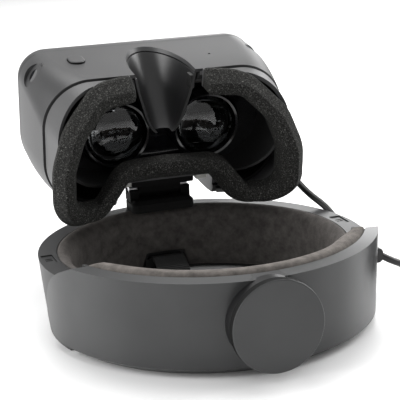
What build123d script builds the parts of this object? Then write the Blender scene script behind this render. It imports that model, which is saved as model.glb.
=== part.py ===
from build123d import *
import math
import os

os.makedirs("parts", exist_ok=True)

# A head-worn display standing upside down on the crown-side rim of its head ring.
# Millimetres. +Z is up, +Y runs from the wearer's head out through the display,
# +X is the side on which the lead runs. Z = 0 is the surface that the ring stands on.

# Head ring: a front half circle and a rear half circle about centres 10 mm apart.
RING_Y = -20.05            # middle of the head ring; the object's own box is centred on Y = 0
ARC_OFFSET = 5.0           # each arc's centre lies this far in front of or behind RING_Y
HALO_RIM_Z = 46.0          # height of the front ring's nose-side rim
HALO_TOP_R = 104.3         # front ring, outside, at the rim
HALO_BASE_R = 100.3        # front ring, outside, at the floor
HALO_CENTRE = 3.0          # the rim circle's centre, in front of RING_Y
HALO_LEAN = 3.0            # how far the floor circle sits behind the rim circle
HALO_TAIL_Y = -28.0        # where the front ring's arms end, under the rear cover
LINER_R = 92.0             # outside of the liner that carries the pads
LINER_WALL = 2.0
PAD_INNER_R = 84.0
WALL = 2.5                 # plastic walls of the ring
GRILLE_Y = 12.0             # middle of each speaker grille in the ring's arms
RUN_GAP = 0.3              # clearance between pieces that move past each other

REAR_TOP_R = 106.0         # rear cover, outer edge of its rim
REAR_RIM_OUTER_Z = 57.0
REAR_RIM_R = 98.0          # inner edge of the rim, where the pad starts
REAR_RIM_Z = 58.3
REAR_BASE_R = 104.2        # rear cover, above the chamfer at the floor
REAR_CHAMFER = 5.5
REAR_FOOT_R = 95.5         # rear cover, where it stands on the floor

SCREW_ANGLES = (-128, -108, -72, -52)   # where screws hold the rear cover to its liner

WHEEL_Z = 32.4             # axis height of the fit wheel
WHEEL_R = 27.4
WHEEL_FACE_Y = -123.0      # from the middle of the ring
WHEEL_DEPTH = 5.0
POD_R = 26.0
SHAFT_R = 5.0
FIT = 0.05                 # radial clearance of a running fit

GEAR_MODULE = 1.5
PINION_TEETH = 12
RACK_R = 97.0              # middle radius of the curved racks
RACK_WALL = 3.0
RACK_TRAVEL = 25.0

TONGUE_X = 90.5            # middle plane of each straight tongue
TONGUE_WALL = 2.0
TONGUE_END_Y = -50.0

# Display: its own frame has x across, y forward (depth) and z towards the nose side,
# with its origin midway between the lenses on their eye side.
VISOR_Y = 81.6             # from the middle of the ring
VISOR_Z = 102.9
VISOR_TILT = 9.3
LENS_SPACING = 63.5
SEAM_DEPTH = -6.0          # where the housing ends and the face frame starts
SPLIT_DEPTH = 56.0         # where the housing meets the front cover
SHELL = 2.4
NOSE_SIDE = 44.0           # height of the nose-side face
CROWN_SIDE = -50.0         # height of the crown-side face
CHANNEL_HALF = 34.0        # recess in the crown side that holds the depth slide
CHANNEL_ROOF = -33.0
CHANNEL_END = 48.0
FACE_AXIS = -144.0         # the face curve is a cylinder about this line
FOAM_R = 122.0
FOAM_THICK = 14.0
FLANGE = 2.0
FOAM_BAND = 15.0
SHROUD_HALF = 74.5
SHROUD_LOW = -30.0
SHROUD_HIGH = 37.2
SHROUD_CORNER = 32.0
PLATE_DEPTH = 12.0

HINGE_Y = 100.0            # tilt hinge, from the middle of the ring
HINGE_Z = 60.0
KNUCKLE_R = 6.0
KNUCKLE_HALF = 15.0
LUG_HALF = 22.0
CARRIAGE_HALF = 22.0
HINGE_PIN_R = 2.5

CORD_R = 2.3
COIL_MIDDLE_R = 27.6       # radius of the coil at the middle of its turns
COIL_LAYERS = 5            # turns side by side, across the ring of the coil
COIL_ROWS = 6              # turns on top of each other
COIL_CENTRE = (196.0, -11.0)

# The lead from the display's boot to the clip on the ring's arm.
LEAD_POINTS = [
    (86.5, 61, 68.5),
    (89.5, 47, 62.0),
    (94.0, 33, 54.0),
    (101.0, 20.5, 47.4),
    (104.0, 8, 39.5),
    (107.0, -5, 35.2),
    (109.0, -17.5, 30.6),
]
# The cable from the clip down to the surface and on to its coil.
CABLE_POINTS = [
    (111.6, -36.4, 28.6),
    (119.8, -38.4, 23.6),
    (128.4, -36.6, 19.6),
    (136.6, -31.6, 13.2),
    (144.4, -23.6, 7.2),
    (152.2, -14, 3.4),
    (158.0, -5, 2.4),
]

HALO_PLACE = Location((0, RING_Y, 0))
VISOR_PLACE = Location((0, RING_Y + VISOR_Y, VISOR_Z), (VISOR_TILT, 0, 0))


def box(x0, x1, y0, y1, z0, z1):
    """A block between two opposite corners."""
    centre = ((x0 + x1) / 2, (y0 + y1) / 2, (z0 + z1) / 2)
    return Pos(*centre) * Box(abs(x1 - x0), abs(y1 - y0), abs(z1 - z0))


def rod_x(radius, x0, x1, y, z):
    return Pos((x0 + x1) / 2, y, z) * (Rot(0, 90, 0) * Cylinder(radius, x1 - x0))


def rod_y(radius, y0, y1, x, z):
    return Pos(x, (y0 + y1) / 2, z) * (Rot(90, 0, 0) * Cylinder(radius, y1 - y0))


def rod_z(radius, z0, z1, x, y):
    return Pos(x, y, (z0 + z1) / 2) * Cylinder(radius, z1 - z0)


def half_ring(profile, centre_y, front):
    """A (radius, height) outline turned half a turn about a ring centre."""
    face = make_face(Plane.XZ * Polyline(*profile, close=True))
    turned = revolve(face, Axis.Z, 180 if front else -180)
    return Pos(0, centre_y, 0) * turned


# ---------------------------------------------------------------- front ring

def halo_cone(inset, z0, z1):
    """The leaning cone of the front ring, inset from its outside, between two heights."""
    def circle(z):
        share = z / HALO_RIM_Z
        radius = HALO_BASE_R + (HALO_TOP_R - HALO_BASE_R) * share - inset
        centre = HALO_CENTRE - HALO_LEAN * (1 - share)
        return Pos(0, centre, z) * Circle(radius)
    return loft([circle(z0), circle(z1)], ruled=True)


def tail_cut(y):
    """Everything behind a plane across the ring."""
    return box(-130, 130, -140, y, -5, 80)


def make_halo_shell():
    hole = rod_z(LINER_R + 0.2, -1, HALO_RIM_Z + 1, 0, ARC_OFFSET)
    body = halo_cone(0, 0, HALO_RIM_Z) - halo_cone(WALL, WALL, HALO_RIM_Z - WALL) - hole
    body -= tail_cut(HALO_TAIL_Y)
    for side in (-1, 1):
        body -= Pos(side * 97.8, GRILLE_Y, HALO_RIM_Z) * Box(7.4, 16.4, 3 * WALL)
    return body


def make_halo_liner():
    wall = rod_z(LINER_R, 0.6, HALO_RIM_Z - 0.6, 0, ARC_OFFSET)
    wall -= rod_z(LINER_R - LINER_WALL, 0, HALO_RIM_Z, 0, ARC_OFFSET)
    return wall - tail_cut(-8)


def make_forehead_pad():
    outer = LINER_R - LINER_WALL - 0.3
    profile = [
        (outer, 3.0), (PAD_INNER_R + 2.5, 3.0), (PAD_INNER_R, 8.0),
        (PAD_INNER_R, 39.5), (PAD_INNER_R + 2.5, HALO_RIM_Z - 0.5), (outer, HALO_RIM_Z - 0.5),
    ]
    pad = half_ring(profile, ARC_OFFSET, True) + half_ring(profile, ARC_OFFSET, False)
    pad -= tail_cut(-30)
    return pad - box(-16, 16, 60, 96, -5, 16)


def make_tongue(side):
    """The straight strip on which the rear half slides."""
    x = side * TONGUE_X
    half = TONGUE_WALL / 2
    strip = box(x - half, x + half, TONGUE_END_Y, -8, 25, 40)
    for y in range(-44, -14, 6):
        strip -= rod_x(1.6, x - 2, x + 2, y, 32.5)
    return strip


def make_speaker(side):
    body = box(side * 92.8, side * 96.8, 2, 20, 16, 40)
    return fillet(body.edges().filter_by(Axis.X), 2.5)


def make_speaker_grille(side):
    plate = Pos(side * 97.8, GRILLE_Y, HALO_RIM_Z - 1.6) * Box(7, 16, 1.8)
    for y in (-1.4, 1.4):
        plate -= Pos(side * 97.8, GRILLE_Y + y, HALO_RIM_Z) * Box(4.4, 1.4, 8)
    return plate


def make_hinge_bridge():
    """The block on the front ring's rim, with the two lugs of the tilt hinge."""
    block = box(-LUG_HALF, LUG_HALF, 85, 107, HALO_RIM_Z, 54)
    block = fillet(block.edges().filter_by(Axis.Z), 4)
    block = chamfer(block.faces().sort_by(Axis.Z)[-1].edges(), 2.5)
    lug_low = KNUCKLE_HALF + RUN_GAP
    for side in (-1, 1):
        x0, x1 = sorted((side * lug_low, side * (LUG_HALF - 0.5)))
        block += rod_x(KNUCKLE_R, x0, x1, HINGE_Y, HINGE_Z)
        block += box(x0, x1, HINGE_Y - KNUCKLE_R, HINGE_Y + KNUCKLE_R, 52, HINGE_Z)
    block -= rod_x(KNUCKLE_R + 0.8, -lug_low, lug_low, HINGE_Y, HINGE_Z)
    block -= rod_x(HINGE_PIN_R, -LUG_HALF, LUG_HALF, HINGE_Y, HINGE_Z)
    return block


def make_hinge_pin():
    return rod_x(HINGE_PIN_R, -LUG_HALF + 1, LUG_HALF - 1, HINGE_Y, HINGE_Z)


def make_top_strap():
    """Webbing from the forehead side, down to the floor and back to the rear half."""
    path = FilletPolyline(
        (0, 91.0, 12.0), (0, 82.0, 12.5), (0, 72.0, 3.5), (0, 50.0, 1.4),
        (0, 0, 1.0), (0, -60, 1.4), (0, -77, 4.0), (0, -86, 9.4), (0, -92, 9.8),
        radius=5,
    )
    start = Plane(origin=(0, 91.0, 12.0), x_dir=(1, 0, 0), z_dir=path % 0)
    return sweep(start * Rectangle(23, 1.6), path)


def make_strap_anchor_front():
    anchor = box(-14, 14, 90.6, 97, 5, 15.5) - box(-12.5, 12.5, 90, 98, 10.5, 13.5)
    return anchor & rod_z(LINER_R - LINER_WALL, 0, 20, 0, ARC_OFFSET)


# ---------------------------------------------------------------- rear half

def rear_end_cut():
    """The space in front of the rear cover's rounded ends."""
    rounded = Spline(
        (-46, -1.5), (-29.5, 3.0), (-17, 6.3), (-8.5, 13), (-6.5, 22), (-9.5, 31),
        (-15, 38.8), (-22, 45), (-33, 51.2), (-54, 60.5),
    )
    outline = make_face(rounded + Polyline((-54, 60.5), (10, 60.5), (10, -1.5), (-46, -1.5)))
    return extrude(Plane.YZ * outline, 130, both=True)


def make_rear_cover():
    profile = [
        (LINER_R + 0.2, 0), (REAR_FOOT_R, 0), (REAR_BASE_R, REAR_CHAMFER),
        (REAR_TOP_R, REAR_RIM_OUTER_Z), (REAR_RIM_R, REAR_RIM_Z), (REAR_RIM_R, REAR_RIM_Z - WALL),
        (REAR_TOP_R - WALL, REAR_RIM_OUTER_Z - WALL), (REAR_BASE_R - WALL, REAR_CHAMFER + 1.2),
        (REAR_FOOT_R - 0.4, WALL), (LINER_R + 0.2, WALL),
    ]
    cover = half_ring(profile, -ARC_OFFSET, False) - rear_end_cut()
    cover -= halo_cone(-RUN_GAP, 0, 12) - tail_cut(HALO_TAIL_Y - 0.5)
    pod = rod_y(POD_R, WHEEL_FACE_Y + WHEEL_DEPTH + 0.4, -100, 0, WHEEL_Z)
    pod -= Pos(0, -ARC_OFFSET, 0) * Cylinder(REAR_TOP_R - WALL - 0.6, 200)
    cover += pod - box(-40, 40, -130, -90, -10, 0)
    for angle in SCREW_ANGLES:
        cover += screw_rod(3.2, LINER_R + 0.2, 103.0, angle)
        cover -= screw_rod(1.25, LINER_R - 3, 99.0, angle)
    return cover - rod_y(SHAFT_R + FIT, -130, -90, 0, WHEEL_Z)


def screw_rod(radius, r0, r1, angle):
    """A radial rod at the screws' height."""
    rod = rod_x(radius, r0, r1, 0, 10.5)
    return Pos(0, -ARC_OFFSET, 0) * (Rot(0, 0, angle) * rod)


def make_cover_screws():
    screws = Part()
    for angle in SCREW_ANGLES:
        screws += screw_rod(1.25, LINER_R - 1.2, 98.0, angle)
    return screws


def make_rear_liner():
    inner = LINER_R - LINER_WALL
    profile = [(inner, 0.6), (LINER_R, 0.6), (LINER_R, REAR_RIM_Z - 4), (inner, REAR_RIM_Z - 4)]
    liner = half_ring(profile, -ARC_OFFSET, False) - box(-130, 130, -33, 130, -5, 80)
    for angle in SCREW_ANGLES:
        liner -= screw_rod(1.25, LINER_R - 4, LINER_R + 1, angle)
    return liner - rod_y(3.0 + FIT, -110, -80, 0, WHEEL_Z)


def make_rear_pad():
    outer = LINER_R - LINER_WALL - 0.3
    profile = [
        (outer, 4.0), (PAD_INNER_R + 2.0, 4.0), (PAD_INNER_R, 9.0),
        (PAD_INNER_R, 52.0), (PAD_INNER_R + 3.5, REAR_RIM_Z + 0.3), (PAD_INNER_R + 7.0, REAR_RIM_Z + 1.9),
        (REAR_RIM_R - 4.0, REAR_RIM_Z + 1.9), (REAR_RIM_R - 0.3, REAR_RIM_Z + 0.3),
        (REAR_RIM_R - 0.3, REAR_RIM_Z - 2.7), (outer, REAR_RIM_Z - 2.7),
    ]
    pad = half_ring(profile, -ARC_OFFSET, False) - box(-130, 130, -39, 130, -5, 80)
    pad -= Pos(0, -1.5, 0) * rear_end_cut()
    return pad - box(-14, 14, -95, -70, -5, 14)


def make_strap_anchor_rear():
    anchor = box(-13.5, 13.5, -97, -90.8, 5, 13.5) - box(-12, 12, -98, -90, 8.4, 11.2)
    return anchor & rod_z(LINER_R - LINER_WALL, 0, 20, 0, -ARC_OFFSET)


def make_fit_wheel():
    y0 = WHEEL_FACE_Y
    knob = rod_y(WHEEL_R, y0, y0 + WHEEL_DEPTH, 0, WHEEL_Z)
    knob = fillet(knob.faces().sort_by(Axis.Y)[0].edges(), 0.8)
    return knob - rod_y(SHAFT_R - 1.2, y0 + 2, y0 + WHEEL_DEPTH + 1, 0, WHEEL_Z)


def make_wheel_shaft():
    y0 = WHEEL_FACE_Y
    shaft = rod_y(SHAFT_R - 1.2, y0 + 2, y0 + WHEEL_DEPTH, 0, WHEEL_Z)
    shaft += rod_y(SHAFT_R, y0 + WHEEL_DEPTH, -RACK_R - 8.2, 0, WHEEL_Z)
    shaft += rod_y(3.0, -RACK_R - 8.2, -95.3, 0, WHEEL_Z)
    return shaft


def pinion_outline():
    """Teeth as points, with the gaps centred so that they mesh with both racks."""
    pitch_r = GEAR_MODULE * PINION_TEETH / 2
    root_r, tip_r = pitch_r - 1.8, pitch_r + 1.35
    step = 2 * math.pi / PINION_TEETH
    points = []
    for tooth in range(PINION_TEETH):
        middle = step * (tooth + 0.5)
        for radius, half in ((root_r, 1.5), (pitch_r, 0.98), (tip_r, 0.42)):
            points.append((radius, middle - half / radius))
        for radius, half in ((tip_r, 0.42), (pitch_r, 0.98), (root_r, 1.5)):
            points.append((radius, middle + half / radius))
    return [(r * math.sin(a), r * math.cos(a)) for r, a in points]


def make_pinion():
    face = make_face(Plane.XZ * Polyline(*pinion_outline(), close=True))
    gear = Pos(0, -RACK_R - ARC_OFFSET - 2.5, WHEEL_Z) * extrude(face, 5, dir=(0, 1, 0))
    return gear - rod_y(3.0, -120, -80, 0, WHEEL_Z)


def make_rack(side):
    """A curved strip whose teeth meet the pinion from above or below."""
    pitch_r = GEAR_MODULE * PINION_TEETH / 2
    up = side > 0
    pitch_z = WHEEL_Z + (pitch_r if up else -pitch_r)
    away = 1 if up else -1
    z0, z1 = sorted((pitch_z + away * 1.8, pitch_z + away * 6.5))
    r0, r1 = RACK_R - RACK_WALL / 2, RACK_R + RACK_WALL / 2
    strip = half_ring([(r0, z0), (r1, z0), (r1, z1), (r0, z1)], -ARC_OFFSET, False)
    past = math.degrees(RACK_TRAVEL / RACK_R) + 8.0
    start, end = -90 - past, -90 + 90 - 32
    for angle, away_y in ((start, -100), (end, 100)):
        wall = Rot(0, 0, angle) * (Pos(0, away_y, 0) * Box(400, 200, 200))
        strip -= Pos(0, -ARC_OFFSET, 0) * wall
    step = math.degrees(math.pi * GEAR_MODULE / RACK_R)
    count = int((end - start - 4) / step)
    first = math.ceil((start + 2 + 90) / step)
    for tooth in range(first, first + count):
        angle = -90 + tooth * step
        outline = [(-1.55, 1.85), (-1.0, 0.0), (-0.5, -1.3), (0.5, -1.3), (1.0, 0.0), (1.55, 1.85)]
        face = make_face(Plane.YZ * Polyline(*[(a, away * b) for a, b in outline], close=True))
        block = Pos(r0 + 0.2, 0, pitch_z) * extrude(face, RACK_WALL - 0.4, dir=(1, 0, 0))
        strip += Pos(0, -ARC_OFFSET, 0) * (Rot(0, 0, angle) * block)
    if side < 0:
        return mirror(strip, Plane.YZ)
    return strip


# ---------------------------------------------------------------- display

def rounded_face(depth, half, low, high, low_r, high_r):
    """A rounded four-sided section across the display at a depth."""
    outline = Polyline((-half, low), (half, low), (half, high), (-half, high), close=True)
    sketch = make_face(outline)
    sketch = fillet(sketch.vertices().sort_by(Axis.Y)[:2], low_r)
    sketch = fillet(sketch.vertices().sort_by(Axis.Y)[-2:], high_r)
    return Plane.XZ.offset(-depth) * sketch


HOUSING_SECTIONS = [
    # depth, half width, crown side, nose side, crown corner, nose corner
    (SEAM_DEPTH, 83.5, CROWN_SIDE + 3, NOSE_SIDE - 0.5, 36.0, 32.0),
    (14.0, 85.0, CROWN_SIDE + 0.5, NOSE_SIDE, 36.0, 25.0),
    (38.0, 85.6, CROWN_SIDE, NOSE_SIDE, 36.0, 20.0),
    (SPLIT_DEPTH, 85.0, CROWN_SIDE, NOSE_SIDE, 36.0, 19.0),
]
COVER_SECTIONS = [
    (SPLIT_DEPTH, 85.0, CROWN_SIDE, NOSE_SIDE, 36.0, 19.0),
    (67.0, 83.2, CROWN_SIDE + 3.5, NOSE_SIDE - 1.2, 34.0, 19.0),
    (74.0, 78.0, CROWN_SIDE + 10, NOSE_SIDE - 5.5, 30.0, 19.0),
    (77.5, 70.0, CROWN_SIDE + 19, NOSE_SIDE - 13.0, 24.0, 17.0),
]


def lofted(sections, inset):
    faces = []
    for depth, half, low, high, low_r, high_r in sections:
        faces.append(rounded_face(depth, half - inset, low + inset, high - inset, low_r - inset, high_r - inset))
    return loft(faces)


def trough_solid(grow):
    """The space of the nose recess: a half cone that opens towards the face."""
    faces = []
    for height in (1.0, 5.0, 12.0, 24.0, 36.0, 46.0):
        share = max(height - 1.0, 0.0) / 43.0
        half = 5.0 + 15.5 * share ** 0.65 + grow
        deep = 2.5 + 46.0 * share ** 0.9 + grow
        back = -40.0
        outline = make_face(
            Polyline((half, 0), (half, back), (-half, back), (-half, 0))
            + EllipticalCenterArc((0, 0), half, deep, start_angle=0, arc_size=180)
        )
        faces.append(Plane.XY.offset(height) * outline)
    return loft(faces)


def channel_solid(grow):
    return box(-CHANNEL_HALF - grow, CHANNEL_HALF + grow, -60, CHANNEL_END + grow, -70, CHANNEL_ROOF + grow)


def face_cylinder(radius):
    """The cylinder about the line behind the wearer's face."""
    return rod_z(radius, -90, 90, 0, FACE_AXIS)


def on_corner(side, shape):
    """Stands a shape, built along +Z, on a nose-side corner at the side camera."""
    return Pos(side * 79.6, 35.5, 35.4) * (Rot(0, side * 56, 0) * shape)


def button_shape(grow, z0, z1):
    oval = SlotOverall(16.0 + 2 * grow, 11.0 + 2 * grow, rotation=90)
    return Pos(-50.7, 32.0, z0) * extrude(oval, z1 - z0)


def make_visor_housing():
    hollow = lofted(HOUSING_SECTIONS, SHELL)
    hollow += rounded_block(SEAM_DEPTH - 3, SEAM_DEPTH + 1, 81.0, -44.5, 41.0, 34.0)
    hollow += rounded_block(SPLIT_DEPTH - 1, SPLIT_DEPTH + 3, 82.0, -47.0, 41.0, 24.0)
    body = lofted(HOUSING_SECTIONS, 0) - channel_solid(0) - (hollow - channel_solid(SHELL))
    body -= trough_solid(0.6)
    for side in (-1, 1):
        body += on_corner(side, rod_z(10.0, -4.0, -1.2, 0, 0)) - channel_solid(0)
        body -= on_corner(side, rod_z(9.0, -1.6, 4, 0, 0))
        body -= on_corner(side, rod_z(6.0, -8, 4, 0, 0))
    body -= button_shape(0.25, 30, 50)
    body -= rod_z(1.0, 38, 50, 40.0, 21.0)
    return body


def rounded_block(y0, y1, half, low, high, corner):
    face = rounded_face(y0, half, low, high, corner, corner)
    return extrude(face, y1 - y0, dir=(0, 1, 0))


def make_front_cover():
    cover = lofted(COVER_SECTIONS, 0) - lofted_hollow_front()
    for side in (-1, 1):
        cover -= rod_y(6.1, 60, 90, side * 52, -14)
    return cover - rod_y(4.6, 60, 90, 0, -22)


def lofted_hollow_front():
    hollow = lofted([(d - 2.4, *rest) for d, *rest in COVER_SECTIONS], SHELL)
    return hollow + rounded_block(SPLIT_DEPTH - 4, SPLIT_DEPTH + 0.5, 82.0, -47.0, 41.0, 24.0)


def make_front_camera(side):
    return rod_y(6.0, 68.0, 77.0, side * 52, -14)


def make_crown_camera():
    return rod_y(4.5, 68.0, 77.0, 0, -22)


def make_side_bezel(side):
    ring = rod_z(8.9, -1.6, -0.2, 0, 0) - rod_z(4.9, -3, 1, 0, 0)
    return on_corner(side, ring)


def make_side_camera(side):
    body = rod_z(4.8, -9.0, -0.6, 0, 0)
    return on_corner(side, body)


def make_seam_ring():
    ring = rounded_block(SEAM_DEPTH - 2, SEAM_DEPTH, 80.6, -44.2, 40.6, 33.0)
    ring -= rounded_block(SEAM_DEPTH - 3, SEAM_DEPTH + 1, 77.6, -41.2, 37.6, 30.0)
    return ring - channel_solid(0) - trough_solid(2.6)


def make_face_frame():
    def section(depth, half, low, high, inset):
        return rounded_face(depth, half - inset, low + inset, high - inset, 34.0 - inset, 31.0 - inset)
    ends = ((SEAM_DEPTH - 2, 82.2, -45.8, 42.4), (-36.0, 78.5, -44.0, 40.5))
    outer = loft([section(*end, 0) for end in ends], ruled=True)
    inner = loft([section(*end, 2.6) for end in ends], ruled=True)
    frame = outer - inner - face_cylinder(FOAM_R + FOAM_THICK + FLANGE)
    return frame - channel_solid(2) - trough_solid(0.6)


def band_sketch(width):
    """The line that the face foam follows round the eyes, as a band."""
    right = [(25, 38.2), (49, 37.2), (70, 16.5), (78, -5), (78, -39.5), (49, -43.5), (32, -21.5)]
    left = [(-x, y) for x, y in reversed(right)]
    path = FilletPolyline(*right, *left, radius=[18, 20, 30, 18, 10, 9, 9, 10, 18, 30, 20, 18])
    return trace(path, width)


def band_solid(r0, r1, width):
    band = extrude(Plane.XZ * band_sketch(width), 90)
    return band & (face_cylinder(r1) - face_cylinder(r0))


def make_face_foam():
    return band_solid(FOAM_R, FOAM_R + FOAM_THICK, FOAM_BAND)


def make_foam_frame():
    return band_solid(FOAM_R + FOAM_THICK, FOAM_R + FOAM_THICK + FLANGE, FOAM_BAND - 3)


def make_eye_shroud():
    outer = rounded_block(-40, PLATE_DEPTH, SHROUD_HALF, SHROUD_LOW, SHROUD_HIGH, SHROUD_CORNER)
    inner = rounded_block(
        -41, PLATE_DEPTH + 1, SHROUD_HALF - 1.6, SHROUD_LOW + 1.6, SHROUD_HIGH - 1.6, SHROUD_CORNER - 1.6
    )
    shroud = outer - inner - face_cylinder(FOAM_R + FOAM_THICK + FLANGE)
    return shroud - trough_solid(2.4)


def make_lens_plate():
    plate = rounded_block(
        PLATE_DEPTH, PLATE_DEPTH + 2, SHROUD_HALF - 0.2, SHROUD_LOW + 0.2, SHROUD_HIGH - 0.2, SHROUD_CORNER
    )
    for side in (-1, 1):
        plate -= rod_y(25.0, PLATE_DEPTH - 1, PLATE_DEPTH + 3, side * LENS_SPACING / 2, 0)
    plate -= rod_y(2.0, PLATE_DEPTH - 1, PLATE_DEPTH + 3, 0, -10)
    return plate - trough_solid(2.4)


def turned_y(profile):
    """A (radius, depth) outline turned about the depth axis."""
    return revolve(make_face(Plane.XY * Polyline(*profile, close=True)), Axis.Y, 360)


def make_lens_ring(side):
    profile = [(21.2, 0.5), (22.6, 0), (25.0, 5), (25.0, 14), (21.2, 14)]
    return Pos(side * LENS_SPACING / 2, 0, 0) * turned_y(profile) - trough_solid(2.0)


def make_lens(side):
    front = Pos(0, 38.0, 0) * Sphere(39.0)
    back = Pos(0, -42.0, 0) * Sphere(50.0)
    lens = front & back & rod_y(21.0, -5, 12, 0, 0)
    return Pos(side * LENS_SPACING / 2, 0, 0) * lens


def make_lens_tube(side):
    profile = [(23.0, 14.2), (24.6, 14.2), (30.0, 44.8), (28.4, 44.8)]
    return Pos(side * LENS_SPACING / 2, 0, 0) * turned_y(profile)


def make_nose_recess():
    shell = (trough_solid(1.6) - trough_solid(0)) & trough_bounds()
    return shell - make_recess_latch()


def trough_bounds():
    """The nose recess stops short of the face, the nose side and its own tip."""
    return box(-40, 40, -16.0, 60, 1.0, NOSE_SIDE - 3.0) - face_cylinder(FOAM_R + FOAM_THICK + FLANGE + 0.4)


def make_recess_latch():
    return Pos(18.6, -3.0, 35.0) * Box(3.0, 7.0, 9.0)


def make_proximity_sensor():
    return rod_y(2.0, PLATE_DEPTH - 0.4, PLATE_DEPTH + 3.6, 0, -10)


def make_display_panel():
    return box(-66, 66, 45.4, 48.0, -28, 30)


def make_display_tray():
    tray = rounded_block(48.4, 51.0, 79.5, -29, 40, 20) - box(-40, 40, 49.6, 52, -20, 20)
    return tray - box(-10, 10, 40, 60, 35, 50)


def make_main_board():
    board = box(-62, 62, 53.2, 54.8, -27, 33)
    board += box(-14, 14, 54.8, 57.2, -12, 12)
    board += box(-46, -30, 54.8, 56.4, -8, 8)
    return board + box(30, 50, 54.8, 56.4, -6, 10)


def make_cooling_plate():
    return box(-40, 40, 58.0, 59.4, -22, 22)


def make_tray_screws():
    screws = Part()
    for x in (-70, 70):
        for z in (-18, 24):
            screws += rod_y(1.5, 51.0, 56.5, x, z)
    return screws


def make_microphone():
    return rod_z(2.0, 35.2, 39.4, 40.0, 21.0)


def make_slide_rail(side):
    x0, x1 = sorted((side * (CARRIAGE_HALF + 1.2), side * (CHANNEL_HALF - 3.5)))
    return box(x0, x1, -4, CHANNEL_END - 1, CHANNEL_ROOF - 3.8, CHANNEL_ROOF)


def make_depth_button():
    top = button_shape(0, 40.0, 45.6)
    top = fillet(top.faces().sort_by(Axis.Z)[-1].edges(), 1.0)
    return top + button_shape(1.4, 39.6, 41.2)


def make_button_spring():
    return rod_z(3.0, 33.0, 39.6, -50.7, 32.0) - rod_z(2.3, 30, 40, -50.7, 32.0)


def make_button_seat():
    """A small shelf fixed to the nose-side wall that holds the button's spring."""
    seat = box(-62, -39.4, 25.0, 39.0, 31.6, 44) - box(-60.8, -40.6, 20, 50, 33.0, 50)
    return seat & lofted(HOUSING_SECTIONS, SHELL)


def make_cable_boot():
    """Tapered boot on the display's side wall, aimed along the lead."""
    start = Vector(*LEAD_POINTS[0])
    aim = (Vector(*LEAD_POINTS[0]) - Vector(*LEAD_POINTS[1])).normalized()
    plane = Plane(origin=start, z_dir=aim)
    cone = plane * Pos(0, 0, 11) * Cone(3.3, 5.0, 22)
    foot = VISOR_PLACE * box(80.5, 92.0, -2.5, 11.5, -33.5, -21.5)
    boot = cone + fillet(foot.edges(), 2.0)
    return boot - VISOR_PLACE * lofted(HOUSING_SECTIONS, 0) - face_side_space()


def face_side_space():
    """The face frame's side of the housing seam, which the boot stays clear of."""
    return VISOR_PLACE * box(60, 84.0, -40, SEAM_DEPTH + 0.2, -60, 60)


# ---------------------------------------------------------------- depth slide

def make_slide_carriage():
    """The block between the rails, with the middle knuckle of the tilt hinge."""
    turn = math.radians(VISOR_TILT)
    dy, dz = HINGE_Y - VISOR_Y, HINGE_Z - VISOR_Z
    depth = dy * math.cos(turn) + dz * math.sin(turn)
    height = dz * math.cos(turn) - dy * math.sin(turn)
    block = box(-CARRIAGE_HALF, CARRIAGE_HALF, -3, 27, height + KNUCKLE_R + 1.0, CHANNEL_ROOF - 1.0)
    block += box(-KNUCKLE_HALF, KNUCKLE_HALF, depth - KNUCKLE_R, depth + KNUCKLE_R, height, height + 12)
    block = fillet(block.edges().filter_by(Axis.Z), 2.0)
    block += rod_x(KNUCKLE_R, -KNUCKLE_HALF, KNUCKLE_HALF, depth, height)
    return block - rod_x(HINGE_PIN_R + FIT, -40, 40, depth, height)


# ---------------------------------------------------------------- lead and cable

def corner_radii(points):
    """Arcs as large as 0.45 of the shorter of the two runs beside each corner allows."""
    radii = []
    for a, b, c in zip(points, points[1:], points[2:]):
        before, after = Vector(*b) - Vector(*a), Vector(*c) - Vector(*b)
        half_turn = math.radians(before.get_angle(after)) / 2
        radii.append(0.45 * min(before.length, after.length) / math.tan(half_turn))
    return radii


def make_tube(name, points):
    radii = corner_radii(points)
    path = FilletPolyline(*points, radius=radii)
    start = Plane(origin=points[0], z_dir=path % 0)
    tube = sweep(start * Circle(CORD_R), path)
    print(name, "radii", [round(r, 1) for r in radii], "length", round(path.length, 1),
          "volume share", round(tube.volume / (math.pi * CORD_R ** 2 * path.length), 4))
    return tube, path.length


def make_cable_clip():
    """Clip on the ring's arm that leads the cable outside the rear cover."""
    low, high = CABLE_POINTS[0][2] - 4.8, CABLE_POINTS[0][2] + 4.9
    front = LEAD_POINTS[-1][1]
    clip = box(96, 113.6, front - 7, front, low, high) + box(106.8, 113.6, front - 23.5, front - 7, low, high)
    outer = clip.edges().filter_by(Axis.Y).group_by(Axis.X)[-1]
    clip = fillet(outer, 3.2)
    return clip - HALO_PLACE * halo_cone(0, 0, HALO_RIM_Z)


def make_coil():
    half_wide = COIL_LAYERS * CORD_R
    height = COIL_ROWS * 2 * CORD_R
    x, y = COIL_CENTRE
    coil = rod_z(COIL_MIDDLE_R + half_wide, 0, height, x, y)
    return coil - rod_z(COIL_MIDDLE_R - half_wide, -1, height + 1, x, y)


def make_coil_tie():
    x, y = COIL_CENTRE
    half_wide = COIL_LAYERS * CORD_R
    height = COIL_ROWS * 2 * CORD_R
    y0, y1 = y - COIL_MIDDLE_R - half_wide, y - COIL_MIDDLE_R + half_wide
    outer = box(x - 5, x + 5, y0 - 1.2, y1 + 1.2, 0, height + 1.2)
    return outer - box(x - 6, x + 6, y0 + 0.6, y1 - 0.6, -1, height) - make_coil()


def make_connector():
    x, y = COIL_CENTRE
    z = COIL_ROWS * 2 * CORD_R
    body = box(x - 9, x + 9, y + 2, y + 34, z, z + 9)
    return fillet(body.edges().filter_by(Axis.Y), 2.5)


def make_connector_plug():
    x, y = COIL_CENTRE
    z = COIL_ROWS * 2 * CORD_R
    plug = box(x - 6.5, x + 6.5, y - 9, y + 2, z + 2, z + 7)
    return plug - box(x - 5.7, x + 5.7, y - 10, y - 2, z + 2.8, z + 6.2)


# ---------------------------------------------------------------- build

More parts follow.
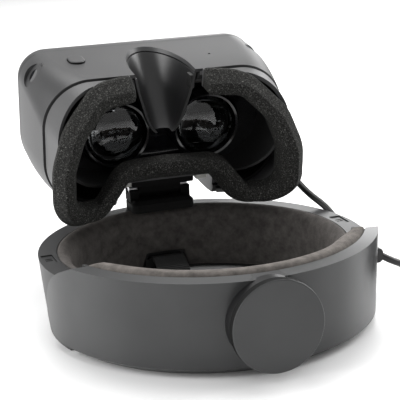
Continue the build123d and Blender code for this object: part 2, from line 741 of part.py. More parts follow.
def both_sides(maker):
    """The left and the right piece as two solids of one node."""
    return maker(-1) + maker(1)


halo_nodes = {
    "halo_shell": make_halo_shell(),
    "halo_liner": make_halo_liner(),
    "forehead_pad": make_forehead_pad(),
    "hinge_bridge": make_hinge_bridge(),
    "hinge_pin": make_hinge_pin(),
    "top_strap": make_top_strap(),
    "strap_anchor_front": make_strap_anchor_front(),
    "rear_cover": make_rear_cover(),
    "rear_liner": make_rear_liner(),
    "rear_pad": make_rear_pad(),
    "cover_screws": make_cover_screws(),
    "strap_anchor_rear": make_strap_anchor_rear(),
    "fit_wheel": make_fit_wheel(),
    "wheel_shaft": make_wheel_shaft(),
    "pinion": make_pinion(),
    "slide_tongues": both_sides(make_tongue),
    "speakers": both_sides(make_speaker),
    "speaker_grilles": both_sides(make_speaker_grille),
}
for side, word in ((-1, "left"), (1, "right")):
    halo_nodes["rack_" + word] = make_rack(side)

visor_nodes = {
    "visor_housing": make_visor_housing(),
    "front_cover": make_front_cover(),
    "seam_ring": make_seam_ring(),
    "face_frame": make_face_frame(),
    "foam_frame": make_foam_frame(),
    "face_foam": make_face_foam(),
    "eye_shroud": make_eye_shroud(),
    "lens_plate": make_lens_plate(),
    "nose_recess": make_nose_recess(),
    "recess_latch": make_recess_latch(),
    "proximity_sensor": make_proximity_sensor(),
    "display_panel": make_display_panel(),
    "display_tray": make_display_tray(),
    "main_board": make_main_board(),
    "cooling_plate": make_cooling_plate(),
    "tray_screws": make_tray_screws(),
    "microphone": make_microphone(),
    "crown_camera": make_crown_camera(),
    "depth_button": make_depth_button(),
    "button_spring": make_button_spring(),
    "button_seat": make_button_seat(),
    "slide_carriage": make_slide_carriage(),
    "slide_rails": both_sides(make_slide_rail),
    "front_cameras": both_sides(make_front_camera),
    "side_cameras": both_sides(make_side_camera),
    "lens_tubes": both_sides(make_lens_tube),
}
for side, word in ((-1, "left"), (1, "right")):
    visor_nodes["lens_" + word] = make_lens(side)
    visor_nodes["lens_ring_" + word] = make_lens_ring(side)
    visor_nodes["side_bezel_" + word] = make_side_bezel(side)

lead, lead_length = make_tube("headset_lead", LEAD_POINTS)
cable, cable_length = make_tube("cable_run", CABLE_POINTS)
cord_nodes = {
    "cable_boot": make_cable_boot(),
    "headset_lead": lead,
    "cable_clip": make_cable_clip(),
    "cable_run": cable,
    "cable_coil": make_coil(),
    "coil_tie": make_coil_tie(),
    "connector": make_connector(),
    "connector_plug": make_connector_plug(),
}

nodes = {}
for name, shape in halo_nodes.items():
    nodes[name] = HALO_PLACE * shape
for name, shape in visor_nodes.items():
    nodes[name] = VISOR_PLACE * shape
for name, shape in cord_nodes.items():
    nodes[name] = shape
for name, shape in nodes.items():
    export_step(shape, f"parts/{name}.step")
own = [shape for name, shape in nodes.items() if name not in cord_nodes]
bounds = Compound(children=[s for shape in own for s in shape.solids()]).bounding_box()
print("nodes", len(nodes), "object box", bounds.min, bounds.max)
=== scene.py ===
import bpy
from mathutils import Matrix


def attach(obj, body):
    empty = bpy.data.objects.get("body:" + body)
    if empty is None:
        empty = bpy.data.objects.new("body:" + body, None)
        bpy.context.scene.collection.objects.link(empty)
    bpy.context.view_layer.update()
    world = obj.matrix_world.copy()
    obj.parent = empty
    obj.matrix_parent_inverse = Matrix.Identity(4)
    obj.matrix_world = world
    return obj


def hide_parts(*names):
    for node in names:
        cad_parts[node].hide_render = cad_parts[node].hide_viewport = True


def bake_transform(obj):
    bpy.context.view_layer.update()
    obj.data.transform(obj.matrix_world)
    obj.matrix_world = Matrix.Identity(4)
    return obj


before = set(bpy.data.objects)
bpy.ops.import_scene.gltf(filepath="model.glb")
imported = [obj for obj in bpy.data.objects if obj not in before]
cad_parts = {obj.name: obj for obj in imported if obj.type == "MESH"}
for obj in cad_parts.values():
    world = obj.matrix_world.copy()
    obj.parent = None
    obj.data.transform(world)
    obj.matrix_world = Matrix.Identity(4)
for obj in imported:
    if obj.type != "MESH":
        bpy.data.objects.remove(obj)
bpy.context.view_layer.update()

import math

import bmesh
import bpy
import numpy as np
from mathutils import Matrix, Vector

# The headset's own sizes, in millimetres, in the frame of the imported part.
RING_Y = -20.05
ARC_OFFSET = 5.0
HALO_RIM_Z = 46.0
LINER_R = 92.0
PAD_INNER_R = 84.0
REAR_RIM_Z = 58.3
REAR_RIM_R = 98.0
VISOR_Y = 81.6
VISOR_Z = 102.9
VISOR_TILT = 9.3
FACE_AXIS = -144.0
FOAM_R = 122.0
FOAM_THICK = 14.0
FOAM_BAND = 15.0
FOAM_LINE_POINTS = 420
FOAM_SECTION_POINTS = 72
FOAM_END_ROUND = 3.0
PAD_SECTION_POINTS = 96
PAD_ARC_STEPS = 300
PAD_BULGE = 1.2
PAD_END_ROUND = 6.0
PAD_LIP_TAPER = 26.0
PAD_LIP_FROM_Z = 50.0
PAD_LIP_RISE = 6.0
PAD_LIT_EDGE_Z = 53.5
NOTCH_EDGE = 3.0
STRAP_WIDTH = 22.8
STRAP_THICK = 1.5
STRAP_LINE_POINTS = 190
WHEEL_Z = 32.4
POD_R = 26.0
SIDE_FACE = 0.4
CORD_R = 2.3
CORD_LENGTH = 4900.0
COIL_MIDDLE_R = 27.6
COIL_LAYERS = 5
COIL_CENTRE = (196.0, -11.0)
COIL_TURN_POINTS = 24
LEAD_POINTS = [
    (86.5, 61.0, 68.5),
    (89.5, 47.0, 62.0),
    (94.0, 33.0, 54.0),
    (101.0, 20.5, 47.4),
    (104.0, 8.0, 39.5),
    (107.0, -5.0, 35.2),
    (109.0, -17.5, 30.6),
]
CABLE_POINTS = [
    (111.6, -36.4, 28.6),
    (119.8, -38.4, 23.6),
    (128.4, -36.6, 19.6),
    (136.6, -31.6, 13.2),
    (144.4, -23.6, 7.2),
    (152.2, -14.0, 3.4),
    (158.0, -5.0, 2.4),
]
MM = 0.001
VISOR_ORIGIN = Vector((0, RING_Y + VISOR_Y, VISOR_Z)) * MM
VISOR = Matrix.Translation(VISOR_ORIGIN) @ Matrix.Rotation(math.radians(VISOR_TILT), 4, "X")
RING = Matrix.Translation((0, RING_Y * MM, 0))


# ---------------------------------------------------------------- materials

def new_material(name, color, roughness, metallic=0.0, specular=0.5):
    """A principled material. Returns it with its node tree and its shader."""
    mat = bpy.data.materials.new(name)
    mat.use_nodes = True
    tree = mat.node_tree
    shader = tree.nodes["Principled BSDF"]
    shader.inputs["Base Color"].default_value = (*color, 1)
    shader.inputs["Roughness"].default_value = roughness
    shader.inputs["Metallic"].default_value = metallic
    shader.inputs["Specular IOR Level"].default_value = specular
    return mat, tree, shader


def coordinates(tree, scale):
    """Object coordinates in metres, scaled."""
    source = tree.nodes.new("ShaderNodeTexCoord")
    mapping = tree.nodes.new("ShaderNodeMapping")
    mapping.inputs["Scale"].default_value = (scale, scale, scale)
    tree.links.new(source.outputs["Object"], mapping.inputs["Vector"])
    return mapping.outputs["Vector"]


def noise_texture(tree, scale, detail=2.0, roughness=0.5):
    texture = tree.nodes.new("ShaderNodeTexNoise")
    texture.inputs["Scale"].default_value = 1.0
    texture.inputs["Detail"].default_value = detail
    texture.inputs["Roughness"].default_value = roughness
    tree.links.new(coordinates(tree, scale), texture.inputs["Vector"])
    return texture.outputs["Fac"]


def add_bump(tree, shader, height, strength, distance_mm):
    bump = tree.nodes.new("ShaderNodeBump")
    bump.inputs["Strength"].default_value = strength
    bump.inputs["Distance"].default_value = distance_mm * MM
    tree.links.new(height, bump.inputs["Height"])
    tree.links.new(bump.outputs["Normal"], shader.inputs["Normal"])


def ramp(tree, fac, stops):
    """A colour ramp from (position, colour) stops."""
    node = tree.nodes.new("ShaderNodeValToRGB")
    while len(node.color_ramp.elements) < len(stops):
        node.color_ramp.elements.new(0.5)
    for element, (position, color) in zip(node.color_ramp.elements, stops):
        element.position = position
        element.color = (*color, 1)
    tree.links.new(fac, node.inputs["Fac"])
    return node.outputs["Color"]


def plastic(name, color, roughness, grain_mm=0.35, strength=0.12, mottle=0.06, specular=0.5):
    """Moulded plastic with a fine spark-eroded grain and a faint unevenness."""
    mat, tree, shader = new_material(name, color, roughness, specular=specular)
    fine = noise_texture(tree, 1000 / grain_mm, 3.0)
    add_bump(tree, shader, fine, strength, 0.05)
    broad = noise_texture(tree, 45.0, 3.0)
    low = [c * (1 - mottle) for c in color]
    high = [min(1.0, c * (1 + mottle)) for c in color]
    tree.links.new(ramp(tree, broad, [(0.3, low), (0.7, high)]), shader.inputs["Base Color"])
    return mat


def smooth_gloss(name, color, roughness, coat):
    """Polished plastic or coated glass, with a clear coat."""
    mat, _, shader = new_material(name, color, roughness)
    shader.inputs["Coat Weight"].default_value = coat
    shader.inputs["Coat Roughness"].default_value = 0.03
    return mat


def foam_material():
    """Charcoal open-cell foam: dark cells, walls that catch the light, stray pale specks."""
    mat, tree, shader = new_material("face_foam_cells", (0.03, 0.03, 0.03), 0.95, specular=0.15)
    cells = tree.nodes.new("ShaderNodeTexVoronoi")
    cells.inputs["Scale"].default_value = 1.0
    tree.links.new(coordinates(tree, 1500.0), cells.inputs["Vector"])
    broad = noise_texture(tree, 700.0, 4.0, 0.7)
    tone = tree.nodes.new("ShaderNodeMath")
    tone.operation = "MULTIPLY"
    tree.links.new(cells.outputs["Distance"], tone.inputs[0])
    tree.links.new(broad, tone.inputs[1])
    color = ramp(tree, tone.outputs["Value"], [
        (0.0, (0.004, 0.004, 0.004)), (0.22, (0.014, 0.014, 0.013)),
        (0.40, (0.042, 0.042, 0.040)), (0.62, (0.18, 0.18, 0.165)),
    ])
    tree.links.new(color, shader.inputs["Base Color"])
    add_bump(tree, shader, tone.outputs["Value"], 0.9, 0.5)
    return mat


def suede_material(name, color, pile):
    """Brushed cloth with a mottled nap and a soft sheen."""
    mat, tree, shader = new_material(name, color, 0.9, specular=0.2)
    shader.inputs["Sheen Weight"].default_value = 0.12
    shader.inputs["Sheen Roughness"].default_value = 0.5
    shader.inputs["Sheen Tint"].default_value = (0.75, 0.68, 0.64, 1)
    broad = noise_texture(tree, 160.0, 5.0, 0.65)
    low = [c * 0.6 for c in color]
    high = [c * 1.5 for c in color]
    tree.links.new(ramp(tree, broad, [(0.3, low), (0.7, high)]), shader.inputs["Base Color"])
    fine = noise_texture(tree, 1600.0, 4.0, 0.7)
    add_bump(tree, shader, fine, pile, 0.35)
    return mat


def webbing_material():
    """Woven strap: ribs across, with a slight gloss."""
    mat, tree, shader = new_material("strap_weave", (0.012, 0.012, 0.012), 0.42, specular=0.6)
    wave = tree.nodes.new("ShaderNodeTexWave")
    wave.bands_direction = "Y"
    wave.inputs["Scale"].default_value = 1.0
    wave.inputs["Distortion"].default_value = 0.6
    tree.links.new(coordinates(tree, 260.0), wave.inputs["Vector"])
    add_bump(tree, shader, wave.outputs["Fac"], 0.5, 0.4)
    return mat


def rubber_material(name, color, roughness):
    """Soft cable jacket with a very fine grain."""
    mat, tree, shader = new_material(name, color, roughness, specular=0.45)
    add_bump(tree, shader, noise_texture(tree, 1800.0, 3.0), 0.12, 0.08)
    return mat


def metal_material(name, color, roughness):
    """Bare metal, slightly uneven."""
    mat, tree, shader = new_material(name, color, roughness, metallic=1.0)
    add_bump(tree, shader, noise_texture(tree, 900.0, 2.0), 0.08, 0.05)
    return mat


def glass_material():
    """Clear lens glass with a coated surface."""
    mat, _, shader = new_material("lens_glass", (0.50, 0.52, 0.53), 0.02)
    shader.inputs["Transmission Weight"].default_value = 1.0
    shader.inputs["IOR"].default_value = 1.5
    shader.inputs["Coat Weight"].default_value = 0.25
    shader.inputs["Coat Roughness"].default_value = 0.02
    return mat


def board_material():
    """Green circuit board with a faint pattern of blocks."""
    mat, tree, shader = new_material("circuit_board", (0.01, 0.09, 0.035), 0.35)
    cells = tree.nodes.new("ShaderNodeTexVoronoi")
    cells.distance = "CHEBYCHEV"
    cells.inputs["Scale"].default_value = 1.0
    tree.links.new(coordinates(tree, 240.0), cells.inputs["Vector"])
    stops = [(0.1, (0.004, 0.05, 0.02)), (0.5, (0.02, 0.14, 0.06))]
    color = ramp(tree, cells.outputs["Distance"], stops)
    tree.links.new(color, shader.inputs["Base Color"])
    return mat


HOUSING = plastic("housing_plastic", (0.027, 0.027, 0.028), 0.44, strength=0.10)
RING_PLASTIC = plastic("ring_plastic", (0.016, 0.016, 0.0165), 0.42, strength=0.08)
COVER_PLASTIC = plastic("rear_cover_plastic", (0.044, 0.0448, 0.0455), 0.30, strength=0.10, specular=0.34)
FRAME_PLASTIC = plastic("frame_plastic", (0.060, 0.060, 0.061), 0.45, strength=0.08)
BLACK_PLASTIC = plastic("black_plastic", (0.005, 0.005, 0.005), 0.55, strength=0.15)
HINGE_PLASTIC = plastic("hinge_plastic", (0.004, 0.004, 0.004), 0.75, strength=0.15, specular=0.15)
# Near-black plastic for the side of the wheel mount: painted shade, darker than the cover it belongs to.
POD_SHADE_PLASTIC = plastic("wheel_mount_painted_shade", (0.006, 0.006, 0.0065), 0.34, strength=0.10)
TROUGH_PLASTIC = plastic("nose_recess_plastic", (0.010, 0.010, 0.0105), 0.36, strength=0.06)
GLOSS_BLACK = smooth_gloss("gloss_black", (0.006, 0.006, 0.007), 0.12, 0.5)
CAMERA_GLASS = smooth_gloss("camera_glass", (0.004, 0.004, 0.006), 0.04, 1.0)
SCREEN_GLASS = smooth_gloss("screen_glass", (0.01, 0.01, 0.014), 0.1, 0.3)
GEAR_PLASTIC = plastic("gear_plastic", (0.6, 0.6, 0.57), 0.45)
LENS_GLASS = glass_material()
FOAM = foam_material()
PAD_SUEDE = suede_material("pad_suede", (0.050, 0.046, 0.043), 0.5)
# A lighter copy of the pad suede: painted highlight for the pad's upward-facing top edge.
LIT_EDGE_SUEDE = suede_material("lit_edge_suede", (0.095, 0.086, 0.079), 0.5)
WEBBING = webbing_material()
CABLE_RUBBER = rubber_material("cable_rubber", (0.003, 0.003, 0.003), 0.40)
BOARD = board_material()
STEEL = metal_material("steel", (0.62, 0.62, 0.63), 0.3)
ALUMINIUM = metal_material("aluminium", (0.75, 0.75, 0.76), 0.35)


# ---------------------------------------------------------------- mesh helpers

def add_object(name, mesh, material):
    obj = bpy.data.objects.new(name, mesh)
    bpy.context.scene.collection.objects.link(obj)
    mesh.materials.append(material)
    return obj


def finish_mesh(mesh, sharp_deg):
    """Outward normals, smooth faces, and creases only where the surface really turns."""
    work = bmesh.new()
    work.from_mesh(mesh)
    bmesh.ops.recalc_face_normals(work, faces=work.faces)
    work.to_mesh(mesh)
    work.free()
    mesh.shade_smooth()
    mesh.set_sharp_from_angle(angle=math.radians(sharp_deg))


def grid_object(name, grid, material, close_u=False, close_v=False, caps=False, place=RING, sharp_deg=40):
    """A surface from a grid of points in millimetres, in the ring's or the display's frame."""
    grid = np.asarray(grid, float)
    nu, nv = grid.shape[:2]
    faces = []
    for i in range(nu if close_u else nu - 1):
        for j in range(nv if close_v else nv - 1):
            a, b = i * nv + j, i * nv + (j + 1) % nv
            c, d = ((i + 1) % nu) * nv + (j + 1) % nv, ((i + 1) % nu) * nv + j
            faces.append((a, b, c, d))
    if caps:
        faces.append(tuple(range(nv)))
        faces.append(tuple(range((nu - 1) * nv, nu * nv)))
    mesh = bpy.data.meshes.new(name)
    mesh.from_pydata([tuple(p) for p in (grid * MM).reshape(-1, 3)], [], faces)
    mesh.transform(place)
    finish_mesh(mesh, sharp_deg)
    return add_object(name, mesh, material)


def rounded(points, radii, steps=5, closed=True):
    """A polygon or open line with its corners turned into arcs."""
    out = []
    count = len(points)
    for i, (point, radius) in enumerate(zip(points, radii)):
        p = np.array(point, float)
        if radius <= 0 or (not closed and i in (0, count - 1)):
            out.append(p)
            continue
        a = np.array(points[i - 1], float) - p
        b = np.array(points[(i + 1) % count], float) - p
        a /= np.linalg.norm(a)
        b /= np.linalg.norm(b)
        half = math.acos(float(np.clip(a @ b, -1, 1))) / 2
        centre = p + (a + b) / np.linalg.norm(a + b) * radius / math.sin(half)
        start, end = p + a * radius / math.tan(half) - centre, p + b * radius / math.tan(half) - centre
        sweep = math.pi - 2 * half
        for k in range(steps + 1):
            t = k / steps
            w0, w1 = math.sin((1 - t) * sweep), math.sin(t * sweep)
            out.append(centre + (start * w0 + end * w1) / math.sin(sweep))
    return np.array(out)


def dense(line, step, closed=False):
    """The same line with points no further apart than step."""
    line = np.asarray(line, float)
    ends = np.vstack([line[1:], line[:1]]) if closed else line[1:]
    out = []
    for a, b in zip(line, ends):
        pieces = max(1, int(math.ceil(np.linalg.norm(b - a) / step)))
        out += [a + (b - a) * k / pieces for k in range(pieces)]
    if not closed:
        out.append(line[-1])
    return np.array(out)


def tangents(line):
    """The direction of a line at each of its points."""
    along = np.gradient(line, axis=0)
    return along / np.linalg.norm(along, axis=1)[:, None]


def distances(line):
    """How far along a line each of its points is."""
    return np.concatenate([[0], np.cumsum(np.linalg.norm(np.diff(line, axis=0), axis=1))])


def spread(line, count, closed=False):
    """count points evenly along a line."""
    line = np.asarray(line, float)
    if closed:
        line = np.vstack([line, line[:1]])
    run = distances(line)
    at = np.linspace(0, run[-1], count + 1 if closed else count)
    at = at[:-1] if closed else at
    return np.stack([np.interp(at, run, line[:, k]) for k in range(line.shape[1])], 1)


def wobble(points, size_mm, depth_mm, seed):
    """Smooth unevenness for soft goods: a few sine waves in three directions."""
    rng = np.random.default_rng(seed)
    total = np.zeros(len(points))
    for _ in range(6):
        direction = rng.normal(size=3)
        direction *= 2 * math.pi / (size_mm * rng.uniform(0.7, 1.6) * np.linalg.norm(direction))
        total += np.sin(points @ direction + rng.uniform(0, 6.28))
    return total / 3 * depth_mm


def round_end(distance, reach):
    """0 at an end, rising like a quarter circle to 1 at reach from it."""
    return math.sqrt(max(0.0, 1 - (1 - min(1.0, distance / reach)) ** 2))


# ---------------------------------------------------------------- pads of the ring

def ring_pad(name, node, body, centre_y, span_deg, outline, radii, notch, seed):
    """A cushion along the inside of the ring, fat in the middle and rounded at its edges and ends, with a
    painted highlight in lighter suede along its top edge.
    """
    outer, low = outline[0]
    high = max(z for r, z in outline)
    has_lip = high > HALO_RIM_Z + 5
    notch_half, notch_z = notch
    section = dense(rounded(outline, radii, steps=7), 1.0, closed=True)
    section = spread(section, PAD_SECTION_POINTS, closed=True)
    middle = (low + high) / 2
    angles = np.radians(np.linspace(*span_deg, PAD_ARC_STEPS))
    grid = []
    for angle in angles:
        from_end = min(angle - angles[0], angles[-1] - angle) * PAD_INNER_R
        share = round_end(from_end, PAD_END_ROUND)
        tip = round_end(from_end, PAD_LIP_TAPER)
        row = []
        for r, z in section:
            inward = (outer - r) / (outer - PAD_INNER_R)
            bulge = PAD_BULGE * (1 - ((z - middle) / (high - middle)) ** 2) * max(0.0, inward)
            radius = outer - (outer - r + bulge) * (0.25 + 0.75 * share)
            if has_lip:
                lip = min(1.0, max(0.0, (z - PAD_LIP_FROM_Z) / PAD_LIP_RISE))
                radius += lip * (REAR_RIM_R - 0.6 - r) * (1 - tip)
            height = middle + (z - middle) * (0.86 + 0.14 * share)
            depth = centre_y + radius * math.sin(angle)
            if has_lip:
                # The end slopes down to the front half's rim.
                height = min(height, float(np.interp(depth, [-52, -36, -24], [high, 52.5, 45.5])))
            across = abs(radius * math.cos(angle))
            if across < notch_half + NOTCH_EDGE and height < notch_z + NOTCH_EDGE:
                lift = 1 - max(0.0, (across - notch_half) / NOTCH_EDGE)
                height = height + (notch_z - height) * min(1.0, lift) * 0.98
            row.append((radius * math.cos(angle), depth, height))
        grid.append(row)
    grid = np.array(grid)
    flat = grid.reshape(-1, 3)
    push = wobble(flat, 38.0, 0.35, seed) + wobble(flat, 14.0, 0.12, seed + 1)
    out = flat - np.array([0, centre_y, 0])
    out[:, 2] = 0
    reach = np.linalg.norm(out, axis=1)
    facing = np.clip((LINER_R - 1 - reach) / 4, 0, 1)
    flat -= out / reach[:, None] * (push * facing)[:, None]
    obj = grid_object(name, flat.reshape(grid.shape), PAD_SUEDE, close_v=True, caps=True, sharp_deg=75)
    # Faces above this height get the lighter suede: a painted highlight on the pad's top edge, where it faces
    # the light.
    obj.data.materials.append(LIT_EDGE_SUEDE)
    for face in obj.data.polygons:
        if face.center[2] / MM > PAD_LIT_EDGE_Z:
            face.material_index = 1
    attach(obj, body)
    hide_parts(node)


def make_pads():
    """The pad of the ring's front half, and the rear one, which laps over the cover's rim."""
    outer, top = LINER_R - 0.3, HALO_RIM_Z + 0.3
    outline = [(outer, 3.0), (PAD_INNER_R, 3.0), (PAD_INNER_R, top), (outer, top)]
    ring_pad(
        "front_cushion", "forehead_pad", "halo", ARC_OFFSET, (-22, 202), outline,
        [1.0, 5.0, 7.0, 0.6], (13.5, 16.0), 11,
    )
    outer, lip = LINER_R - 2.3, REAR_RIM_R - 0.4
    high, low = REAR_RIM_Z + 1.9, REAR_RIM_Z - 2.3
    outline = [
        (outer, 4.0), (PAD_INNER_R, 4.0), (PAD_INNER_R + 0.2, REAR_RIM_Z - 2), (PAD_INNER_R + 6.0, high),
        (lip - 2.0, high), (lip, REAR_RIM_Z - 0.8), (lip, low), (outer, low),
    ]
    ring_pad(
        "rear_cushion", "rear_pad", "rear_band", -ARC_OFFSET, (-156, -24), outline,
        [1.0, 4.0, 4.0, 4.0, 2.2, 0.6, 0.4, 0.4], (12.5, 13.5), 21,
    )


# ---------------------------------------------------------------- face foam

def foam_centreline():
    """The line that the foam follows round the eyes, across and up, in the display's frame."""
    right = [(25, 38.2), (49, 37.2), (70, 16.5), (78, -5), (78, -39.5), (49, -43.5), (32, -21.5)]
    left = [(-x, y) for x, y in reversed(right)]
    radii = [0, 18, 20, 30, 18, 10, 9, 9, 10, 18, 30, 20, 18, 0]
    line = rounded(right + left, radii, steps=14, closed=False)
    return spread(dense(line, 0.5), FOAM_LINE_POINTS)


def make_foam():
    """The face cushion: one band of foam round the eyes, thinner at its inner edge, open at the nose."""
    line = foam_centreline()
    tangent = tangents(line)
    normal = np.stack([tangent[:, 1], -tangent[:, 0]], 1)
    half, thick = FOAM_BAND / 2, FOAM_THICK
    outline = [(-half, 10.5), (-0.8, 0), (half - 1.6, 0), (half, 2.0), (half, thick), (-half, thick)]
    section = rounded(outline, [1.6, 2.2, 1.8, 1.4, 0.8, 0.6], steps=6)
    section = spread(dense(section, 0.6, closed=True), FOAM_SECTION_POINTS, closed=True)
    run = distances(line)
    grid = []
    for point, n, s in zip(line, normal, run):
        share = round_end(min(s, run[-1] - s), FOAM_END_ROUND)
        scale = 0.78 + 0.22 * share
        row = []
        for a, b in section:
            u, v = point + n * a * scale
            radius = FOAM_R + thick - (thick - b) * (0.85 + 0.15 * share)
            row.append((u, FACE_AXIS + math.sqrt(radius ** 2 - u ** 2), v))
        grid.append(row)
    grid = np.array(grid)
    flat = grid.reshape(-1, 3)
    push = wobble(flat, 30.0, 0.3, 5) + wobble(flat, 7.0, 0.1, 6)
    flat[:, 1] -= push
    flat[:, 2] += wobble(flat, 26.0, 0.25, 7)
    obj = grid_object(
        "foam_cushion", flat.reshape(grid.shape), FOAM, close_v=True, caps=True, place=VISOR, sharp_deg=80,
    )
    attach(obj, "visor")
    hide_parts("face_foam")


# ---------------------------------------------------------------- strap

def make_strap():
    """Webbing that comes out of the front pad, folds down and runs along the floor to the rear half."""
    path = rounded(
        [
            (0, 91.0, 11.6), (0, 83.0, 14.2), (0, 73.0, 9.5), (0, 64.0, 2.4), (0, 46.0, 1.4),
            (0, 0, 1.0), (0, -60, 1.4), (0, -77, 4.0), (0, -86, 9.4), (0, -92, 9.8),
        ],
        [0, 4, 6, 6, 5, 5, 5, 5, 5, 0], steps=8, closed=False,
    )
    path = spread(dense(path, 1.0), STRAP_LINE_POINTS)
    up = np.cross(np.array([1.0, 0, 0]), tangents(path))
    half, rise = STRAP_WIDTH / 2, STRAP_THICK / 2
    corners = [(-half, -rise), (half, -rise), (half, rise), (-half, rise)]
    section = rounded(corners, [0.6] * 4, steps=3)
    section = dense(section, 1.6, closed=True)
    grid = []
    for point, n in zip(path, up):
        grid.append([point + np.array([a, 0, 0]) + n * b for a, b in section])
    obj = grid_object("strap_ribbon", grid, WEBBING, close_v=True, caps=True, sharp_deg=60)
    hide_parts("top_strap")
    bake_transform(obj)


# ---------------------------------------------------------------- cable

def coil_points():
    """Turns side by side and on top of each other, a diameter apart."""
    pitch = 2 * CORD_R * 1.02
    x, y = COIL_CENTRE
    slots = []
    for row in range(8):
        columns = range(COIL_LAYERS) if row % 2 else reversed(range(COIL_LAYERS))
        height = CORD_R + 0.1 + row * pitch * 0.97
        slots += [(COIL_MIDDLE_R + (c - (COIL_LAYERS - 1) / 2) * pitch, height) for c in columns]
    start = math.atan2(CABLE_POINTS[-1][1] - y, CABLE_POINTS[-1][0] - x)
    run = sum(math.dist(a, b) for a, b in zip(CABLE_POINTS, CABLE_POINTS[1:]))
    points = []
    used = 0.0
    while used < CORD_LENGTH - run - 30:
        turn, part = divmod(len(points), COIL_TURN_POINTS)
        change = max(0.0, (part / COIL_TURN_POINTS - 0.75) / 0.25)
        radius = slots[turn][0] + (slots[turn + 1][0] - slots[turn][0]) * change
        height = slots[turn][1] + (slots[turn + 1][1] - slots[turn][1]) * change
        angle = start - 2 * math.pi * len(points) / COIL_TURN_POINTS
        points.append((x + radius * math.cos(angle), y + radius * math.sin(angle), height))
        used += 2 * math.pi * radius / COIL_TURN_POINTS
    return points


def nurbs_curve(name, points, resolution):
    """A smooth curve that has a route's points as its control points, without thickness."""
    data = bpy.data.curves.new(name, "CURVE")
    data.dimensions = "3D"
    data.resolution_u = resolution
    spline = data.splines.new("NURBS")
    spline.points.add(len(points) - 1)
    for target, point in zip(spline.points, points):
        target.co = (*[c * MM for c in point], 1)
    spline.order_u = 3
    spline.use_endpoint_u = True
    obj = bpy.data.objects.new(name, data)
    bpy.context.scene.collection.objects.link(obj)
    return obj


def make_cable():
    """The long cable, from the clip on the ring across the floor to its coil and the connector on top."""
    coil = coil_points()
    x, y = COIL_CENTRE
    top = coil[-1][2]
    to_connector = [(x, y + 36, top + 4.8), (x, y + 33.5, top + 4.6)]
    cable = nurbs_curve("cable", CABLE_POINTS + coil + to_connector, 6)
    cable.data.bevel_depth = CORD_R * MM
    cable.data.bevel_resolution = 6
    cable.data.use_fill_caps = True
    cable.data.materials.append(CABLE_RUBBER)
    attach(cable, "halo")
    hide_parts("cable_run", "cable_coil")


def tube_along(name, points, radius, material):
    """A mesh tube along a smooth line, in the frame's own coordinates."""
    line = np.asarray(points, float)
    tangent = tangents(line)
    side = np.cross(tangent, [0, 0, 1.0])
    side /= np.linalg.norm(side, axis=1)[:, None]
    up = np.cross(side, tangent)
    turns = np.linspace(0, 2 * math.pi, 25)[:-1]
    grid = []
    for p, s, u in zip(line, side, up):
        grid.append([p + radius * (math.cos(a) * s + math.sin(a) * u) for a in turns])
    return grid_object(name, grid, material, close_v=True, caps=True, place=Matrix.Identity(4), sharp_deg=60)


def route_points(points):
    """Points that Blender reads from the route's spline, in millimetres."""
    curve = nurbs_curve("route", points, 12)
    mesh = bpy.data.meshes.new_from_object(curve)
    line = np.array([vertex.co for vertex in mesh.vertices]) / MM
    bpy.data.objects.remove(curve)
    bpy.data.meshes.remove(mesh)
    return line


def make_lead():
    """The short lead from the display to the ring, in two lengths split halfway along its route."""
    line = route_points(LEAD_POINTS)
    middle = len(line) // 2
    upper = tube_along("lead_upper", line[: middle + 1], CORD_R, CABLE_RUBBER)
    lower = tube_along("lead_lower", line[middle:], CORD_R, CABLE_RUBBER)
    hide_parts("headset_lead")
    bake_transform(upper)
    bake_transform(lower)


# ---------------------------------------------------------------- rigid pieces

def paint(material, *nodes):
    for node in nodes:
        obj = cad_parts[node]
        obj.data.materials.clear()
        obj.data.materials.append(material)


def second_material(node, material, chosen):
    """Gives some of a CAD node's faces another material."""
    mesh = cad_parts[node].data
    mesh.materials.append(material)
    for face in mesh.polygons:
        if chosen(face):
            face.material_index = 1


def on_shaded_wheel_mount(face):
    """Whether a face of the rear cover is on the side of the round mount behind the fit wheel, where the
    mount's side gets painted shade.
    """
    x, _, z = face.center / MM
    return math.hypot(x, z - WHEEL_Z) < POD_R + 1 and abs(face.normal.y) < 0.5


def paint_rigid():
    paint(HOUSING, "visor_housing", "front_cover", "depth_button", "side_bezel_left", "side_bezel_right")
    paint(RING_PLASTIC, "halo_shell", "speaker_grilles")
    paint(COVER_PLASTIC, "rear_cover", "fit_wheel")
    paint(FRAME_PLASTIC, "face_frame", "foam_frame")
    paint(
        BLACK_PLASTIC, "halo_liner", "rear_liner", "seam_ring", "eye_shroud", "lens_tubes",
        "display_tray", "button_seat", "speakers", "strap_anchor_front", "strap_anchor_rear",
        "microphone", "recess_latch",
    )
    paint(HINGE_PLASTIC, "hinge_bridge", "slide_carriage")
    paint(TROUGH_PLASTIC, "nose_recess")
    # The depth button's side faces get the dark hinge plastic as painted shade for the gap under the button;
    # the fit wheel's side faces get the same dark plastic.
    along_button = VISOR.to_3x3() @ Vector((0, 0, 1))
    for node, axis in (("fit_wheel", Vector((0, 1, 0))), ("depth_button", along_button)):
        second_material(node, HINGE_PLASTIC, lambda face: abs(face.normal.dot(axis)) < SIDE_FACE)
    # The mount's side faces of the rear cover get painted shade.
    second_material("rear_cover", POD_SHADE_PLASTIC, on_shaded_wheel_mount)
    paint(GLOSS_BLACK, "lens_plate", "lens_ring_left", "lens_ring_right")
    paint(LENS_GLASS, "lens_left", "lens_right")
    paint(CAMERA_GLASS, "front_cameras", "side_cameras", "crown_camera", "proximity_sensor")
    paint(SCREEN_GLASS, "display_panel")
    paint(GEAR_PLASTIC, "pinion", "rack_left", "rack_right", "slide_tongues", "slide_rails")
    paint(STEEL, "hinge_pin", "wheel_shaft", "cover_screws", "tray_screws", "button_spring", "connector_plug")
    paint(BOARD, "main_board")
    paint(ALUMINIUM, "cooling_plate")
    paint(CABLE_RUBBER, "cable_boot", "cable_clip", "coil_tie", "connector")


# ---------------------------------------------------------------- stage

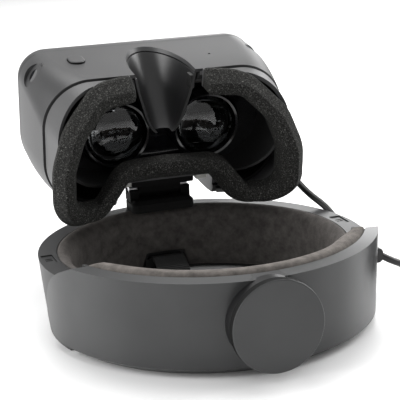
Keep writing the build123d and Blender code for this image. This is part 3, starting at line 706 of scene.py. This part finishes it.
def make_stage():
    size = 6.0
    mesh = bpy.data.meshes.new("floor")
    corners = [(-size, -size, 0), (size, -size, 0), (size, size, 0), (-size, size, 0)]
    mesh.from_pydata(corners, [], [(0, 1, 2, 3)])
    mat, _, _ = new_material("floor_white", (0.93, 0.93, 0.93), 0.35, specular=0.3)
    floor = add_object("floor", mesh, mat)


def area_light(name, place, aim, width, height, power):
    data = bpy.data.lights.new(name, "AREA")
    data.shape = "RECTANGLE"
    data.size = width
    data.size_y = height
    data.energy = power
    obj = bpy.data.objects.new(name, data)
    bpy.context.scene.collection.objects.link(obj)
    obj.location = place
    direction = Vector(aim) - Vector(place)
    obj.rotation_euler = direction.to_track_quat("-Z", "Y").to_euler()


def make_light():
    world = bpy.data.worlds.new("studio")
    bpy.context.scene.world = world
    world.use_nodes = True
    background = world.node_tree.nodes["Background"]
    background.inputs["Color"].default_value = (1, 1, 1, 1)
    background.inputs["Strength"].default_value = 0.63
    area_light("left_box", (-1.3, 0.15, 0.55), (0, 0, 0.08), 0.9, 1.0, 17)
    area_light("right_box", (1.25, 0.2, 0.7), (0, 0, 0.08), 0.8, 1.0, 16)
    area_light("top_box", (0.1, 0.6, 1.5), (0, 0, 0.05), 1.2, 1.0, 20)
    area_light("back_box", (0.85, 1.45, 0.52), (0.05, 0, 0.08), 0.9, 0.35, 5)


def make_camera():
    yaw, pitch, roll = math.radians(18.31), math.radians(15.31), math.radians(-2.3)
    forward = Vector((math.sin(yaw) * math.cos(pitch), math.cos(yaw) * math.cos(pitch), -math.sin(pitch)))
    right = Vector((math.cos(yaw), -math.sin(yaw), 0))
    up = right.cross(forward)
    right_rolled = right * math.cos(roll) + up * math.sin(roll)
    up_rolled = up * math.cos(roll) - right * math.sin(roll)
    data = bpy.data.cameras.new("camera")
    data.sensor_width = 36.0
    data.lens = 120.6
    camera = bpy.data.objects.new("camera", data)
    bpy.context.scene.collection.objects.link(camera)
    rows = Matrix((right_rolled, up_rolled, -forward)).transposed().to_4x4()
    camera.matrix_world = Matrix.Translation((-0.2555, -0.78535, 0.2954)) @ rows
    bpy.context.scene.camera = camera


make_stage()
make_light()
make_camera()
bpy.context.scene.view_settings.view_transform = "Standard"
paint_rigid()
make_pads()
make_foam()
make_strap()
make_cable()
make_lead()
